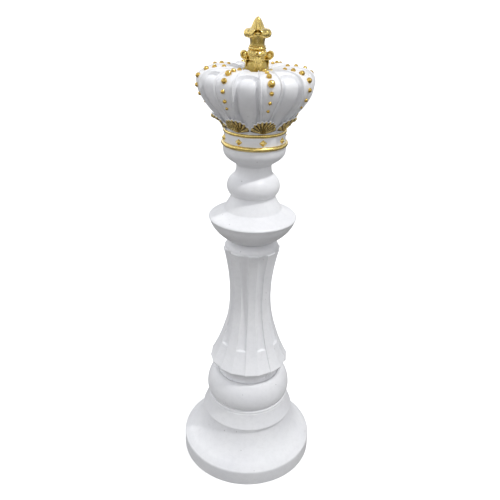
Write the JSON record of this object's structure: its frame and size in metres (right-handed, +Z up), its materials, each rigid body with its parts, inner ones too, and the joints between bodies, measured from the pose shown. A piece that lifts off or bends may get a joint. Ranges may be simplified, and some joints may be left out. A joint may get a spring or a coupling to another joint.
{
  "type": "giant chess king",
  "caption": "Floor-standing white chess king: flared base, fluted shaft, collar and closed crown with gilt beads, band and finial.",
  "frame": {"origin": "on the ground under the centre of the base", "axes": "+Z up along the king's axis; -Y is the front, which the picture looks at"},
  "size_m": [0.283, 0.283, 0.915],
  "materials": {
    "white_resin": "white lacquered cast resin, satin, with a few pinholes",
    "bright_gilt": "polished gilt with darker recesses",
    "antique_gilt": "antiqued gilt, brown in the recesses",
    "board": "birch plywood, raw",
    "zinc_steel": "zinc plated",
    "black_rubber": "matt",
    "grey_rubber": "matt",
    "black_plastic": "moulded, fine grain",
    "sand": "loose dry sand",
    "tube_aluminium": "extruded",
    "raw_brass": "turned"
  },
  "bodies": {
    "base": {"base_casting": "white_resin", "step_ring": "white_resin", "torus_ring": "white_resin", "fluted_shaft": "white_resin", "shaft_cap": "white_resin", "collar": "white_resin", "neck_ball": "white_resin", "crown_cup": "white_resin", "crown_band": "white_resin", "crown_shell": "white_resin", "crown_arches": "white_resin", "base_plate": "board", "plate_screws": "zinc_steel", "rubber_feet": "black_rubber", "foot_screws": "zinc_steel", "sand_ballast": "sand", "centring_tube": "tube_aluminium", "band_ring_lower": "bright_gilt", "band_ring_upper": "bright_gilt", "band_studs": "bright_gilt", "arch_beads": "bright_gilt", "palmettes": "antique_gilt", "finial_pot": "antique_gilt", "finial_leaves": "bright_gilt", "finial_ring": "bright_gilt", "finial_stem": "bright_gilt", "finial_arms": "bright_gilt", "finial_bud": "bright_gilt", "finial_insert": "raw_brass", "finial_stud": "zinc_steel", "tie_rod": "zinc_steel", "base_washer": "zinc_steel", "base_nut": "zinc_steel", "crown_washer": "zinc_steel", "crown_nut": "zinc_steel"},
    "plug_seal": {"plug_seal": "grey_rubber"},
    "plug": {"fill_plug": "black_plastic"}
  },
  "joints": [
    {"name": "plug_travel", "type": "slide", "parent": "base", "child": "plug_seal", "axis": [0, 0, -1], "range_m": [0, 0.00901]},
    {"name": "plug_turn", "type": "hinge", "parent": "plug_seal", "child": "plug", "pos_m": [0, 0.066, 0.012], "axis": [0, 0, -1], "range_deg": [0, 1080]}
  ],
  "couplings": [
    {"joint": "plug_travel", "follows": "plug_turn", "m_per_rad": 0.00047746}
  ]
}
